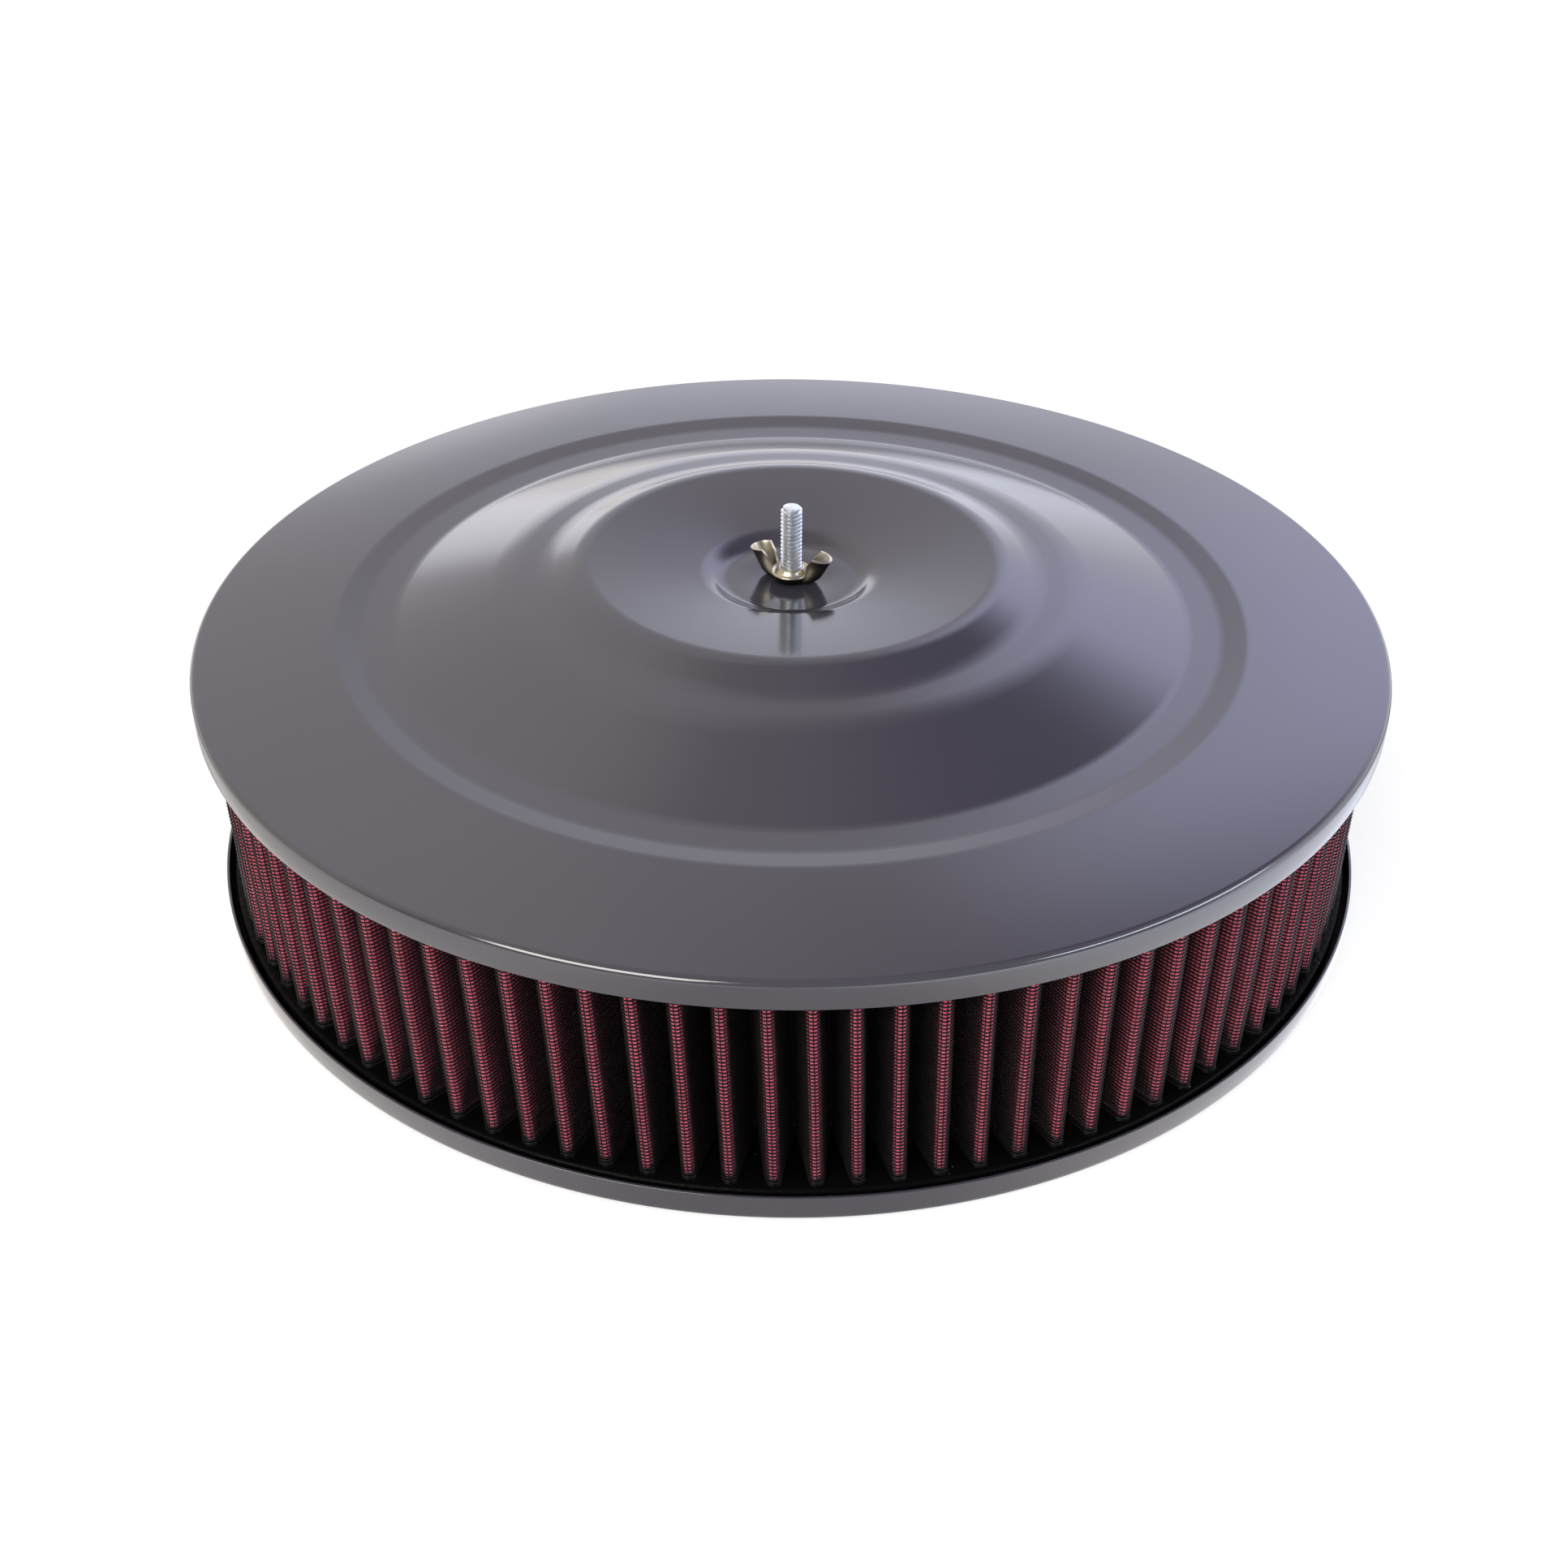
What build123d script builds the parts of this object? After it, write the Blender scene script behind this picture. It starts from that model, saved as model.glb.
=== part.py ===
from build123d import *
import math
import os

os.makedirs("parts", exist_ok=True)

# Round drop-base air cleaner for a carburettor, in millimetres.
# +Z runs up the clamping stud, and Z = 0 is the underside of the base pan's rim.
# A pleated filter element stands in the base pan, the lid lies on the element,
# and a wing nut on the central stud draws lid, element and base together.

# Filter element: two moulded end caps with the pleated media between them
ELEMENT_RADIUS = 175.4
ELEMENT_HEIGHT = 76.2
CAP_WIDTH = 25.4
CAP_THICKNESS = 7.4
PLEATS = 100
PLEAT_TIP_WIDTH = 3.6
PLEAT_TIP_INSET = 1.8
PLEAT_ROOT_INSET = 2.6
FIRST_PLEAT_ANGLE = -1.35
MEDIA_THICKNESS = 1.5

# Covers: two pressed steel sheets, with lips that stand round the element
SHEET = 0.9
LIP_CLEARANCE = 1.5
LID_LIP = 8.0
BASE_LIP = 8.3
RIM_BEVEL = 1.5

# Lid pressing from the flange inwards: widths, then heights above the flange's outer corner
FLANGE_SLOPE = 3.4
FLANGE_OVERHANG = 13.6
STEP_RUN = 7.4
LEDGE_WIDTH = 9.8
DOME_RUN = 33.6
SHELF_WIDTH = 11.8
CREST_RUN = 11.1
NUT_SEAT_RADIUS = 21.0
SEAT_WALL_RUN = 4.6
SEAT_WALL_RISE = 2.65
LEDGE_HEIGHT = 1.4
SHELF_HEIGHT = 12.2
SHOULDER_HEIGHT = 13.1
CREST_HEIGHT = 17.8
NUT_SEAT_HEIGHT = 9.5

# Base pressing
NECK_BORE_RADIUS = 65.3
NECK_HEIGHT = 8.5
NECK_BEVEL = 1.6
DECK_UNDERSIDE = 32.0
PAN_WALL_ANGLE = 42.0
PAN_WALL_INSET = 4.5

# Gasket between the deck and the carburettor's air horn
GASKET_THICKNESS = 3.0
GASKET_WIDTH = 10.0
GASKET_CLEARANCE = 0.6

# Stud: a thread at each end, with a thinner plain shank between them
STUD_RADIUS = 3.175
STUD_RISE = 23.7
UPPER_THREAD = 31.75
SHANK_LENGTH = 16.75
LOWER_THREAD = 15.0
SHANK_UNDERCUT = 0.375
STUD_CHAMFER = 0.7

# Wing nut: a pressed cup with two hollow wings that open towards the stud
NUT_SHEET = 0.8
NUT_BORE_LENGTH = 1.9
CUP_WALL = 1.4
CUP_FLARE = 0.9
CUP_HEIGHT = 2.9
WING_FOOT = 0.6
WING_FOOT_REACH = 2.7
WING_LEAN = 6.2
WING_HEIGHT = 10.2
WING_TIP_DROP = 1.4
WING_HALF_WIDTH = 3.3
WING_ANGLE = -24.0

# Clearances
SEAL_GAP = 0.1
THREAD_CLEARANCE = 0.045
STUD_HOLE_CLEARANCE = 0.5

# Radii that follow from the sizes above
cap_inner = ELEMENT_RADIUS - CAP_WIDTH
cover_radius = ELEMENT_RADIUS + LIP_CLEARANCE + SHEET
flange_inner = cap_inner - FLANGE_OVERHANG
ledge_outer = flange_inner - STEP_RUN
ledge_inner = ledge_outer - LEDGE_WIDTH
shelf_radius = ledge_inner - DOME_RUN
shoulder_radius = shelf_radius - SHELF_WIDTH
crest_radius = shoulder_radius - CREST_RUN
pan_wall_foot = cap_inner - PAN_WALL_INSET
deck_radius = pan_wall_foot - DECK_UNDERSIDE / math.tan(math.radians(PAN_WALL_ANGLE))
nut_bore = STUD_RADIUS + THREAD_CLEARANCE
cup_foot = nut_bore + CUP_WALL
cup_rim = cup_foot + CUP_FLARE
cup_well = cup_rim - NUT_SHEET

# Levels that follow from the sizes above
flange_tan = math.tan(math.radians(FLANGE_SLOPE))
flange_cos = math.cos(math.radians(FLANGE_SLOPE))
element_bottom = SHEET
element_top = element_bottom + ELEMENT_HEIGHT
media_bottom = element_bottom + CAP_THICKNESS
media_top = element_top - CAP_THICKNESS
lid_corner = element_top + (SHEET + SEAL_GAP) / flange_cos - (cover_radius - ELEMENT_RADIUS) * flange_tan
nut_seat = lid_corner + NUT_SEAT_HEIGHT
stud_top = nut_seat + STUD_RISE
stud_bottom = stud_top - UPPER_THREAD - SHANK_LENGTH - LOWER_THREAD


def pressed_sheet(outline, thickness):
    """A sheet turned about Z from its outline of (radius, height) points, with mitred corners.

    The sheet lies to the right of the outline as it runs, or to the left with a negative thickness.
    """
    near = [Vector(*point) for point in outline]
    runs = [(after - before).normalized() for before, after in zip(near, near[1:])]
    sides = [Vector(run.Y, -run.X) for run in runs]
    sides = [sides[0]] + sides + [sides[-1]]
    far = []
    for point, before, after in zip(near, sides, sides[1:]):
        mitre = (before + after).normalized()
        far.append(point + mitre * (thickness / mitre.dot(after)))
    section = make_face(Polyline(*near, *reversed(far), close=True))
    return revolve(Plane.XZ * section, Axis.Z)


def lid():
    """The lid: a sunk nut seat, a raised crest, a stepped shoulder, and a flange with a turned-down lip."""
    profile = [
        (STUD_RADIUS + STUD_HOLE_CLEARANCE, NUT_SEAT_HEIGHT),
        (NUT_SEAT_RADIUS, NUT_SEAT_HEIGHT),
        (NUT_SEAT_RADIUS + SEAT_WALL_RUN, NUT_SEAT_HEIGHT + SEAT_WALL_RISE),
        (crest_radius, CREST_HEIGHT),
        (shoulder_radius, SHOULDER_HEIGHT),
        (shelf_radius, SHELF_HEIGHT),
        (ledge_inner, LEDGE_HEIGHT),
        (ledge_outer, LEDGE_HEIGHT),
        (flange_inner, (cover_radius - flange_inner) * flange_tan),
        (cover_radius - RIM_BEVEL, RIM_BEVEL * flange_tan),
        (cover_radius, -RIM_BEVEL),
        (cover_radius, -LID_LIP),
    ]
    return pressed_sheet([(radius, lid_corner + height) for radius, height in profile], SHEET)


def base_plate():
    """The base pan: a rim for the element, a wall up to the raised deck, and the carburettor neck."""
    profile = [
        (NECK_BORE_RADIUS, DECK_UNDERSIDE + NECK_HEIGHT),
        (NECK_BORE_RADIUS, DECK_UNDERSIDE + NECK_BEVEL),
        (NECK_BORE_RADIUS + NECK_BEVEL, DECK_UNDERSIDE),
        (deck_radius, DECK_UNDERSIDE),
        (pan_wall_foot, 0),
        (cover_radius - RIM_BEVEL, 0),
        (cover_radius, RIM_BEVEL),
        (cover_radius, BASE_LIP),
    ]
    return pressed_sheet(profile, -SHEET)


def neck_gasket():
    """The flat ring under the deck that seals on the carburettor's air horn."""
    inner = NECK_BORE_RADIUS + NECK_BEVEL + GASKET_CLEARANCE
    ring = Circle(inner + GASKET_WIDTH) - Circle(inner)
    return extrude(Pos(0, 0, DECK_UNDERSIDE - GASKET_THICKNESS) * ring, GASKET_THICKNESS)


def end_cap(bottom, top, slope_tan=0):
    """A moulded ring that holds one end of the media, with its top face sloped like its neighbour."""
    outline = Polyline(
        (cap_inner, bottom),
        (ELEMENT_RADIUS, bottom),
        (ELEMENT_RADIUS, top),
        (cap_inner, top + CAP_WIDTH * slope_tan),
        close=True,
    )
    return revolve(Plane.XZ * make_face(outline), Axis.Z)


def top_end_cap():
    """The upper cap, whose top face lies along the underside of the lid's flange."""
    return end_cap(media_top, element_top, flange_tan)


def bottom_end_cap():
    """The lower cap, which stands on the flat rim of the base pan."""
    return end_cap(element_bottom, media_bottom)


def pleated_media():
    """Gauze folded between two wire screens into a ring of blunt pleats of even thickness."""
    half_turn = 180 / PLEATS
    half_width = PLEAT_TIP_WIDTH / 2
    bevel = half_width / 2
    tip_radius = ELEMENT_RADIUS - PLEAT_TIP_INSET
    root_radius = cap_inner + PLEAT_ROOT_INSET
    tip = Vector(tip_radius, bevel)
    shoulder = Vector(tip_radius - bevel, half_width)
    valley = Vector(root_radius + MEDIA_THICKNESS, 0).rotate(Axis.Z, half_turn)
    along = (valley - shoulder).normalized()
    across = Vector(-along.Y, along.X)
    inner_valley = valley + across * MEDIA_THICKNESS
    pocket_depth = inner_valley.X - tip_radius + MEDIA_THICKNESS
    pocket = inner_valley - along * (pocket_depth / along.X)
    fold = Vector(root_radius, -bevel).rotate(Axis.Z, half_turn)

    def with_mirror(half):
        return [Vector(point.X, -point.Y) for point in reversed(half)] + half

    def all_pleats(pleat):
        return [point.rotate(Axis.Z, 2 * half_turn * index) for index in range(PLEATS) for point in pleat]

    outer = all_pleats(with_mirror([tip, shoulder]) + [valley])
    inner = all_pleats(with_mirror([pocket, inner_valley, fold]))
    ring = make_face(Polyline(*outer, close=True)) - make_face(Polyline(*inner, close=True))
    ring = ring.rotate(Axis.Z, FIRST_PLEAT_ANGLE)
    return extrude(Pos(0, 0, media_bottom) * ring, media_top - media_bottom)


def upright(radius, bottom, length):
    """A plain cylinder standing on the given level."""
    return Pos(0, 0, bottom) * Cylinder(radius, length, align=(Align.CENTER, Align.CENTER, Align.MIN))


def stud():
    """The clamping stud, threaded at both ends, with each thread stated by its outside radius."""
    lower = upright(STUD_RADIUS, stud_bottom, LOWER_THREAD)
    shank = upright(STUD_RADIUS - SHANK_UNDERCUT, stud_bottom + LOWER_THREAD, SHANK_LENGTH)
    upper = upright(STUD_RADIUS, stud_top - UPPER_THREAD, UPPER_THREAD)
    rings = (lower + shank + upper).edges().filter_by(GeomType.CIRCLE).sort_by(Axis.Z)
    return chamfer([rings[0], rings[-1]], STUD_CHAMFER)


def wing():
    """One hollow wing: a leaning channel of sheet, round outside and open towards the stud."""
    foot_centre = cup_rim + WING_FOOT_REACH - WING_HALF_WIDTH
    lean = math.degrees(math.atan2(WING_LEAN, WING_HEIGHT - WING_FOOT))
    bore = WING_HALF_WIDTH - NUT_SHEET
    leg = Rectangle(cup_rim, 2 * WING_HALF_WIDTH, align=(Align.MAX, Align.CENTER))
    slot = Rectangle(cup_rim, 2 * bore, align=(Align.MAX, Align.CENTER))
    channel = extrude(Circle(WING_HALF_WIDTH) + leg - Circle(bore) - slot, 2 * WING_HEIGHT)
    leaning = Pos(foot_centre, 0, 0) * channel.rotate(Axis.Y, lean)
    tip_reach = cup_rim + WING_FOOT_REACH + WING_LEAN
    side_view = Polyline(
        (0, WING_FOOT),
        (tip_reach, WING_FOOT),
        (tip_reach + WING_HALF_WIDTH, WING_HEIGHT - WING_TIP_DROP),
        (tip_reach - WING_HALF_WIDTH, WING_HEIGHT),
        (0, WING_FOOT + NUT_SHEET),
        close=True,
    )
    blank = extrude(Plane.XZ * make_face(side_view), WING_HALF_WIDTH, both=True)
    floor = Pos(foot_centre, 0, 0) * upright(WING_HALF_WIDTH, WING_FOOT, NUT_SHEET)
    return (leaning & blank) + floor


def wing_nut():
    """The wing nut: a pressed cup with its foot on the lid's nut seat, and two hollow wings."""
    cup = Cone(cup_foot, cup_rim, CUP_HEIGHT, align=(Align.CENTER, Align.CENTER, Align.MIN))
    one_wing = wing()
    blank = cup + one_wing + one_wing.rotate(Axis.Z, 180)
    hole = Polyline(
        (0, 0),
        (nut_bore, 0),
        (nut_bore, NUT_BORE_LENGTH),
        (cup_well, CUP_HEIGHT),
        (cup_well, WING_HEIGHT),
        (0, WING_HEIGHT),
        close=True,
    )
    blank -= revolve(Plane.XZ * make_face(hole), Axis.Z)
    return Pos(0, 0, nut_seat) * blank.rotate(Axis.Z, WING_ANGLE)


PIECES = {
    "lid": lid,
    "base_plate": base_plate,
    "neck_gasket": neck_gasket,
    "top_end_cap": top_end_cap,
    "bottom_end_cap": bottom_end_cap,
    "pleated_media": pleated_media,
    "stud": stud,
    "wing_nut": wing_nut,
}

for node, build in PIECES.items():
    export_step(build(), f"parts/{node}.step")
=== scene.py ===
import math

import bmesh
import bpy
from mathutils import Matrix, Vector, noise


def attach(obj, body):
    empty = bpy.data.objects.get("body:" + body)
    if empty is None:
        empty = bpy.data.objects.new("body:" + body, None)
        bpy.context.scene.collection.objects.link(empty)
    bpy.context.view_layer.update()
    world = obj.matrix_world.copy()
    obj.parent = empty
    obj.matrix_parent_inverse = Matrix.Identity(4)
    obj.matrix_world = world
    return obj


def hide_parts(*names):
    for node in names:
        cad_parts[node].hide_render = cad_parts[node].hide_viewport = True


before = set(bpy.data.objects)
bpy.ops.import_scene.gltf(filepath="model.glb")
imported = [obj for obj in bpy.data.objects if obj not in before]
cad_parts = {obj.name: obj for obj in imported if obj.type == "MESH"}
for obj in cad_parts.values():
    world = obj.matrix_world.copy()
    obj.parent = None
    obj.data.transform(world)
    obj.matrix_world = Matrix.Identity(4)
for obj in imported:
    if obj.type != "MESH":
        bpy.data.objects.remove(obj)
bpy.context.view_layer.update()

# Round drop-base air cleaner, put together from the base pan upwards, in metres.
MM = 0.001


# Base pan: one blank of 0.9 mm steel, pressed into a flat rim with a turned-up lip, a wall up
# to the raised deck, and the neck that drops over the carburettor's air horn. Its gloss black
# enamel is baked on, so that it has a faint orange peel and fine dust.
SHEET = 0.9 * MM
COVER_RADIUS = 177.8 * MM
BASE_LIP = 8.3 * MM
PAN_WALL_FOOT = 145.5 * MM
DECK_RADIUS = 109.96 * MM
DECK_UNDERSIDE = 32.0 * MM
NECK_BORE_RADIUS = 65.3 * MM
NECK_TOP = 40.5 * MM
COVER_STEPS = 256
BEND_STEPS = 9
CUT_EDGE_TURN = 1.3
CUT_EDGE_ROUNDING = 0.2 * MM
ENAMEL_BLACKS = (0.032, 0.030, 0.038), (0.042, 0.039, 0.049)
ENAMEL_DUST = (0.06, 0.06, 0.06)
ENAMEL_IOR = 1.85
ORANGE_PEEL = 0.004 * MM
DUST_SPARSENESS = 0.9


def drawn_line(mesh, places, closed=False):
    """Vertices at these places, with an edge from each to the next."""
    points = [mesh.verts.new(place) for place in places]
    for start, end in zip(points, points[1:] + (points[:1] if closed else [])):
        mesh.edges.new((start, end))
    return points


def rounded(mesh, parts, affect, offset, steps, clamped=True):
    """Rounds off vertices or edges of a mesh, cut back this far on either side."""
    bmesh.ops.bevel(mesh, geom=parts, offset=offset, offset_type="OFFSET", segments=steps,
                    profile=0.5, affect=affect, material=-1, clamp_overlap=clamped)


def turn_round_stud(mesh, steps):
    """Turns a line beside the stud into a skin all round it, with its doubles merged."""
    bmesh.ops.spin(mesh, geom=mesh.verts[:] + mesh.edges[:], cent=(0, 0, 0), axis=(0, 0, 1),
                   dvec=(0, 0, 0), angle=2 * math.pi, steps=steps, use_merge=True,
                   use_duplicate=False)
    bmesh.ops.remove_doubles(mesh, verts=mesh.verts[:], dist=1e-7)
    bmesh.ops.recalc_face_normals(mesh, faces=mesh.faces[:])


def bend_cut(before, corner, after, bend):
    """How far along its two runs a corner is cut back for a bend of this radius."""
    turn = (corner - before).angle(after - corner)
    return bend * math.tan(turn / 2)


def pressed_cover(outline, drawn_below):
    """A pressed sheet, from (radius, height, bend radius) points on its lower or upper face."""
    mesh = bmesh.new()
    points = drawn_line(mesh, [(radius, 0, height) for radius, height, bend in outline])
    cuts = []
    for index in range(1, len(outline) - 1):
        before, corner, after = (points[index + step].co.copy() for step in (-1, 0, 1))
        cuts.append((points[index], bend_cut(before, corner, after, outline[index][2])))
    for point, cut in cuts:
        rounded(mesh, [point], "VERTICES", cut, BEND_STEPS, clamped=False)
    turn_round_stud(mesh, COVER_STEPS)
    levellest = max(mesh.faces, key=lambda face: abs(face.normal.z))
    if (levellest.normal.z < 0) != drawn_below:
        bmesh.ops.reverse_faces(mesh, faces=mesh.faces[:])
    bmesh.ops.solidify(mesh, geom=mesh.faces[:], thickness=SHEET)
    cut_edges = [edge for edge in mesh.edges if edge.calc_face_angle(0) > CUT_EDGE_TURN]
    rounded(mesh, cut_edges, "EDGES", CUT_EDGE_ROUNDING, 2)
    return mesh


def link(tree, source, target):
    """Joins one node's output to another node's input."""
    tree.links.new(source, target)


def computed(tree, operation, *values):
    """The result of one Math node on numbers and sockets."""
    node = tree.nodes.new("ShaderNodeMath")
    node.operation = operation
    for value, socket in zip(values, node.inputs):
        if isinstance(value, (int, float)):
            socket.default_value = value
        else:
            link(tree, value, socket)
    return node.outputs[0]


def mixed_colour(tree, share, first, second):
    """A colour mixed by share from first to second, each a colour or a socket."""
    mix = tree.nodes.new("ShaderNodeMix")
    mix.data_type = "RGBA"
    link(tree, share, mix.inputs["Factor"])
    for socket, colour in ((mix.inputs[6], first), (mix.inputs[7], second)):
        if isinstance(colour, tuple):
            socket.default_value = (*colour, 1)
        else:
            link(tree, colour, socket)
    return mix.outputs[2]


def new_material(name):
    """An empty material with its output and Principled shader."""
    material = bpy.data.materials.new(name)
    material.use_nodes = True
    tree = material.node_tree
    tree.nodes.clear()
    output = tree.nodes.new("ShaderNodeOutputMaterial")
    shader = tree.nodes.new("ShaderNodeBsdfPrincipled")
    link(tree, shader.outputs["BSDF"], output.inputs["Surface"])
    return material, tree, shader


def surface_grain():
    """Node group for a worked surface: broad patches, fine grain, and sparse dust specks."""
    group = bpy.data.node_groups.new("surface_grain", "ShaderNodeTree")
    group.interface.new_socket("Vector", in_out="INPUT", socket_type="NodeSocketVector")
    for label in ("Patch scale", "Grain scale", "Dust scale", "Dust amount"):
        group.interface.new_socket(label, in_out="INPUT", socket_type="NodeSocketFloat")
    for label in ("Patches", "Grain", "Dust"):
        group.interface.new_socket(label, in_out="OUTPUT", socket_type="NodeSocketFloat")
    entry = group.nodes.new("NodeGroupInput")
    leaving = group.nodes.new("NodeGroupOutput")
    for scale, label, detail in (("Patch scale", "Patches", 4), ("Grain scale", "Grain", 2)):
        texture = group.nodes.new("ShaderNodeTexNoise")
        texture.inputs["Detail"].default_value = detail
        link(group, entry.outputs["Vector"], texture.inputs["Vector"])
        link(group, entry.outputs[scale], texture.inputs["Scale"])
        link(group, texture.outputs["Fac"], leaving.inputs[label])
    cells = group.nodes.new("ShaderNodeTexVoronoi")
    link(group, entry.outputs["Vector"], cells.inputs["Vector"])
    link(group, entry.outputs["Dust scale"], cells.inputs["Scale"])
    speck = computed(group, "LESS_THAN", cells.outputs["Distance"], entry.outputs["Dust amount"])
    chosen = computed(group, "GREATER_THAN", cells.outputs["Color"], DUST_SPARSENESS)
    link(group, computed(group, "MULTIPLY", speck, chosen), leaving.inputs["Dust"])
    return group


grain_group = surface_grain()


def place_grain(tree, patch_scale, grain_scale, dust_scale, dust_amount):
    """The surface grain group in a material, on Object coordinates."""
    place = tree.nodes.new("ShaderNodeTexCoord")
    grain = tree.nodes.new("ShaderNodeGroup")
    grain.node_tree = grain_group
    link(tree, place.outputs["Object"], grain.inputs["Vector"])
    for label, value in (("Patch scale", patch_scale), ("Grain scale", grain_scale),
                         ("Dust scale", dust_scale), ("Dust amount", dust_amount)):
        grain.inputs[label].default_value = value
    return grain


def dusted(tree, shader, grain, colour, dust_colour):
    """Gives a shader this colour, with the grain's specks of dust on it."""
    link(tree, mixed_colour(tree, grain.outputs["Dust"], colour, dust_colour),
         shader.inputs["Base Color"])


def roughened(tree, shader, share, low, high):
    """Gives a shader a roughness between low and high, as share goes from 0 to 1."""
    spread = tree.nodes.new("ShaderNodeMapRange")
    spread.inputs["To Min"].default_value = low
    spread.inputs["To Max"].default_value = high
    link(tree, share, spread.inputs["Value"])
    link(tree, spread.outputs["Result"], shader.inputs["Roughness"])


def bumped(tree, shader, height, depth):
    """A bump of this depth in metres on a shader's normal."""
    bump = tree.nodes.new("ShaderNodeBump")
    bump.inputs["Strength"].default_value = 1.0
    bump.inputs["Distance"].default_value = depth
    link(tree, height, bump.inputs["Height"])
    link(tree, bump.outputs["Normal"], shader.inputs["Normal"])


def black_enamel():
    """Baked gloss enamel: near black under a clear gloss, with faint orange peel and dust."""
    material, tree, shader = new_material("black_enamel")
    grain = place_grain(tree, patch_scale=14, grain_scale=260, dust_scale=700, dust_amount=0.1)
    colour = mixed_colour(tree, grain.outputs["Patches"], *ENAMEL_BLACKS)
    dusted(tree, shader, grain, colour, ENAMEL_DUST)
    roughened(tree, shader, grain.outputs["Patches"], 0.10, 0.16)
    bumped(tree, shader, grain.outputs["Grain"], ORANGE_PEEL)
    shader.inputs["IOR"].default_value = ENAMEL_IOR
    return material


def finish_piece(name, mesh, material, body):
    """Makes an object of a finished mesh, with its material and body."""
    data = bpy.data.meshes.new(name)
    mesh.to_mesh(data)
    mesh.free()
    data.shade_smooth()
    piece = bpy.data.objects.new(name, data)
    bpy.context.scene.collection.objects.link(piece)
    piece.data.materials.append(material)
    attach(piece, body)
    return piece


enamel = black_enamel()
base_pan_mesh = pressed_cover([
    (NECK_BORE_RADIUS, NECK_TOP, 0),
    (NECK_BORE_RADIUS, DECK_UNDERSIDE, 2.6 * MM),
    (DECK_RADIUS, DECK_UNDERSIDE, 8 * MM),
    (PAN_WALL_FOOT, 0, 6 * MM),
    (COVER_RADIUS, 0, 2.5 * MM),
    (COVER_RADIUS, BASE_LIP, 0),
], drawn_below=True)
base_pan = finish_piece("base_pan", base_pan_mesh, enamel, "housing")
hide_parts("base_plate")


# Neck gasket: a flat ring cut from a sheet of rubbered fibre, which lies under the deck round
# the neck and seals on the carburettor. Its CAD shape is right, so it only gets its finish.
GASKET_GREYS = (0.018, 0.018, 0.018), (0.045, 0.044, 0.042)
GASKET_FLECKS = (0.16, 0.15, 0.14)
GASKET_NAP = 0.05 * MM


def gasket_rubber():
    """Matt rubbered fibre with pale flecks."""
    material, tree, shader = new_material("gasket_rubber")
    grain = place_grain(tree, patch_scale=120, grain_scale=1500, dust_scale=900, dust_amount=0.2)
    colour = mixed_colour(tree, grain.outputs["Grain"], *GASKET_GREYS)
    dusted(tree, shader, grain, colour, GASKET_FLECKS)
    roughened(tree, shader, grain.outputs["Patches"], 0.65, 0.9)
    bumped(tree, shader, grain.outputs["Grain"], GASKET_NAP)
    return material


neck_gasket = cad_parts["neck_gasket"]
neck_gasket.data.materials.clear()
neck_gasket.data.materials.append(gasket_rubber())


# End caps: two rings of black urethane, poured round the media's ends in an open mould. They
# are dull, with rounded corners, and the resin has crept up each pleat in a small fillet.
CAP_INNER = 150.0 * MM
CAP_OUTER = 175.4 * MM
CAP_ROUNDING = 1.3 * MM
CAP_STEPS = 200
ELEMENT_BOTTOM = 0.9 * MM
ELEMENT_TOP = 77.1 * MM
MEDIA_BOTTOM = 8.3 * MM
MEDIA_TOP = 69.7 * MM
FLANGE_SLOPE = math.tan(math.radians(3.4))
INNER_EDGE_TOP = ELEMENT_TOP + (CAP_OUTER - CAP_INNER) * FLANGE_SLOPE
URETHANE_BLACKS = (0.001, 0.001, 0.001), (0.0025, 0.0023, 0.0025)
URETHANE_DUST = (0.09, 0.09, 0.09)
URETHANE_RIPPLES = 0.25 * MM


def cap_mesh(corners):
    """A closed ring turned round the stud from its (radius, height) corners, all rounded."""
    mesh = bmesh.new()
    points = drawn_line(mesh, [(radius, 0, height) for radius, height in corners], closed=True)
    rounded(mesh, points, "VERTICES", CAP_ROUNDING, 4)
    turn_round_stud(mesh, CAP_STEPS)
    return mesh


def moulded_urethane():
    """Poured black urethane: deep black and dull, with low ripples and a little dust."""
    material, tree, shader = new_material("moulded_urethane")
    grain = place_grain(tree, patch_scale=60, grain_scale=420, dust_scale=800, dust_amount=0.16)
    colour = mixed_colour(tree, grain.outputs["Patches"], *URETHANE_BLACKS)
    dusted(tree, shader, grain, colour, URETHANE_DUST)
    roughened(tree, shader, grain.outputs["Patches"], 0.25, 0.45)
    bumped(tree, shader, grain.outputs["Grain"], URETHANE_RIPPLES)
    shader.inputs["Specular IOR Level"].default_value = 0.05
    return material


urethane = moulded_urethane()
for name, node, corners in (
        ("bottom_cap", "bottom_end_cap", [
            (CAP_INNER, ELEMENT_BOTTOM), (CAP_OUTER, ELEMENT_BOTTOM),
            (CAP_OUTER, MEDIA_BOTTOM), (CAP_INNER, MEDIA_BOTTOM)]),
        ("top_cap", "top_end_cap", [
            (CAP_INNER, MEDIA_TOP), (CAP_OUTER, MEDIA_TOP),
            (CAP_OUTER, ELEMENT_TOP), (CAP_INNER, INNER_EDGE_TOP)])):
    cap = finish_piece(name, cap_mesh(corners), urethane, "housing")
    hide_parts(node)
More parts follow.
